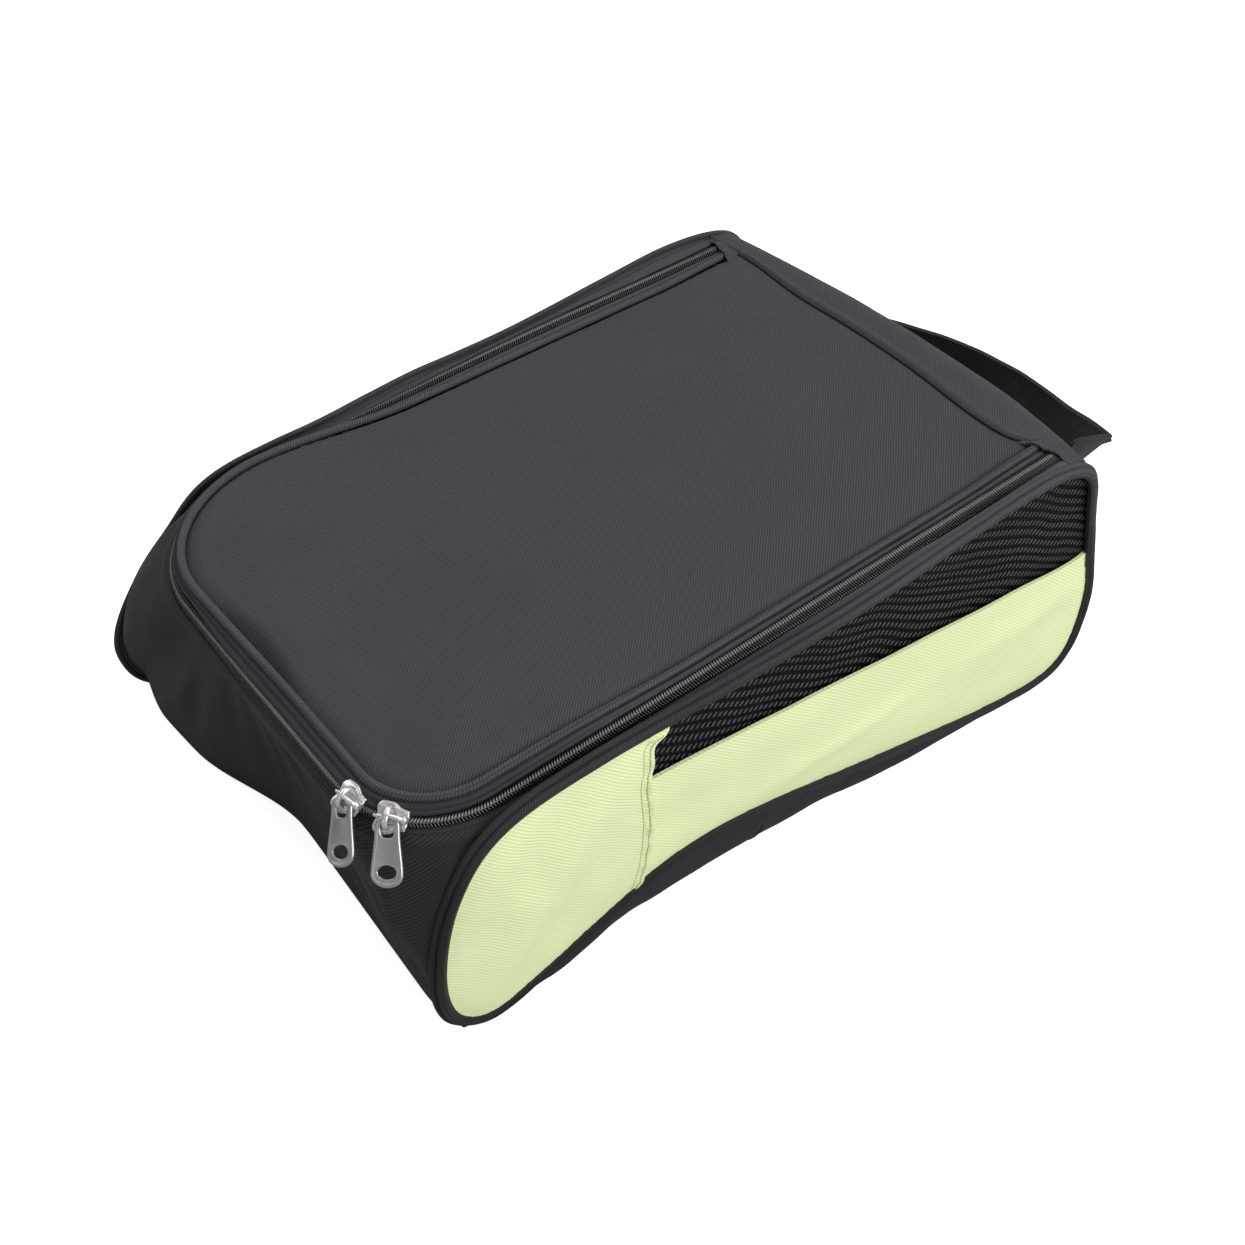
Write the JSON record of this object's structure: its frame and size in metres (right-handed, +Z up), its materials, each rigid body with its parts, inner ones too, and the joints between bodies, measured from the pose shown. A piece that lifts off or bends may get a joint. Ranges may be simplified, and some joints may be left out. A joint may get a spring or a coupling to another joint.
{
  "type": "golf shoe bag",
  "caption": "Zipped shoe bag for golf shoes: padded charcoal lid hinged at the heel, lime sides with mesh windows, piping, webbing handle and zipper pulls.",
  "frame": {"origin": "on the floor, under the middle of the bag", "axes": "+Z up, -X towards the toe end with the zipper pulls, +X towards the heel end with the lid hinge and the handle, -Y the left side seen from the heel"},
  "size_m": [0.3856, 0.23, 0.1239],
  "materials": {
    "charcoal_twill": "matt twill",
    "black_twill": "matt twill",
    "piping_cloth": "matt",
    "zipper_tape": "matt woven",
    "nylon_coil": "satin",
    "lime_twill": "matt twill",
    "air_mesh": "open knit",
    "lining_cloth": "satin",
    "stiffener_board": "matt",
    "webbing": "woven",
    "polished_nickel": "polished"
  },
  "bodies": {
    "lid": {"lid_panel": "charcoal_twill", "lid_lining": "lining_cloth", "lid_piping": "piping_cloth", "lid_zipper_tape": "zipper_tape", "lid_zipper_coil": "nylon_coil"},
    "bag_body": {"toe_gusset": "black_twill", "base_panel": "black_twill", "base_board": "stiffener_board", "heel_panel": "black_twill", "hinge_band": "charcoal_twill", "body_zipper_coil": "nylon_coil", "body_zipper_tape": "zipper_tape", "left_top_strip": "charcoal_twill", "right_top_strip": "charcoal_twill", "left_toe_panel": "lime_twill", "right_toe_panel": "lime_twill", "left_lower_panel": "lime_twill", "right_lower_panel": "lime_twill", "left_mesh_window": "air_mesh", "right_mesh_window": "air_mesh", "left_side_piping": "piping_cloth", "right_side_piping": "piping_cloth", "left_toe_seam_tape": "zipper_tape", "right_toe_seam_tape": "zipper_tape", "left_mesh_seam_tape": "zipper_tape", "right_mesh_seam_tape": "zipper_tape", "left_handle_anchor": "webbing", "right_handle_anchor": "webbing"},
    "handle": {"handle_strap": "webbing"},
    "left_slider": {"left_slider": "polished_nickel"},
    "left_pull": {"left_pull_tab": "polished_nickel"},
    "right_slider": {"right_slider": "polished_nickel"},
    "right_pull": {"right_pull_tab": "polished_nickel"}
  },
  "joints": [
    {"name": "lid_hinge", "type": "hinge", "parent": "bag_body", "child": "lid", "pos_m": [0.135, 0, 0.1213], "axis": [0, 1, 0], "range_deg": [0, 150]},
    {"name": "handle_swing", "type": "hinge", "parent": "bag_body", "child": "handle", "pos_m": [0.1605, 0, 0.087], "axis": [0, -1, 0], "range_deg": [0, 60]},
    {"name": "left_slider_travel", "type": "slide", "parent": "bag_body", "child": "left_slider", "axis": [-0.0377, 0.9993, -0.0034], "range_m": [0, 0.095]},
    {"name": "left_pull_swing", "type": "hinge", "parent": "left_slider", "child": "left_pull", "pos_m": [-0.16146, -0.06812, 0.09863], "axis": [-0.0377, 0.9993, -0.0034], "range_deg": [0, 150]},
    {"name": "right_slider_travel", "type": "hinge", "parent": "bag_body", "child": "right_slider", "pos_m": [-0.12182, -0.0672, 0.09829], "axis": [-0.0892, 0, 0.996], "range_deg": [0, 20]},
    {"name": "right_pull_swing", "type": "hinge", "parent": "right_slider", "child": "right_pull", "pos_m": [-0.15348, -0.09104, 0.09935], "axis": [-0.6018, 0.7969, -0.0539], "range_deg": [0, 150]}
  ]
}
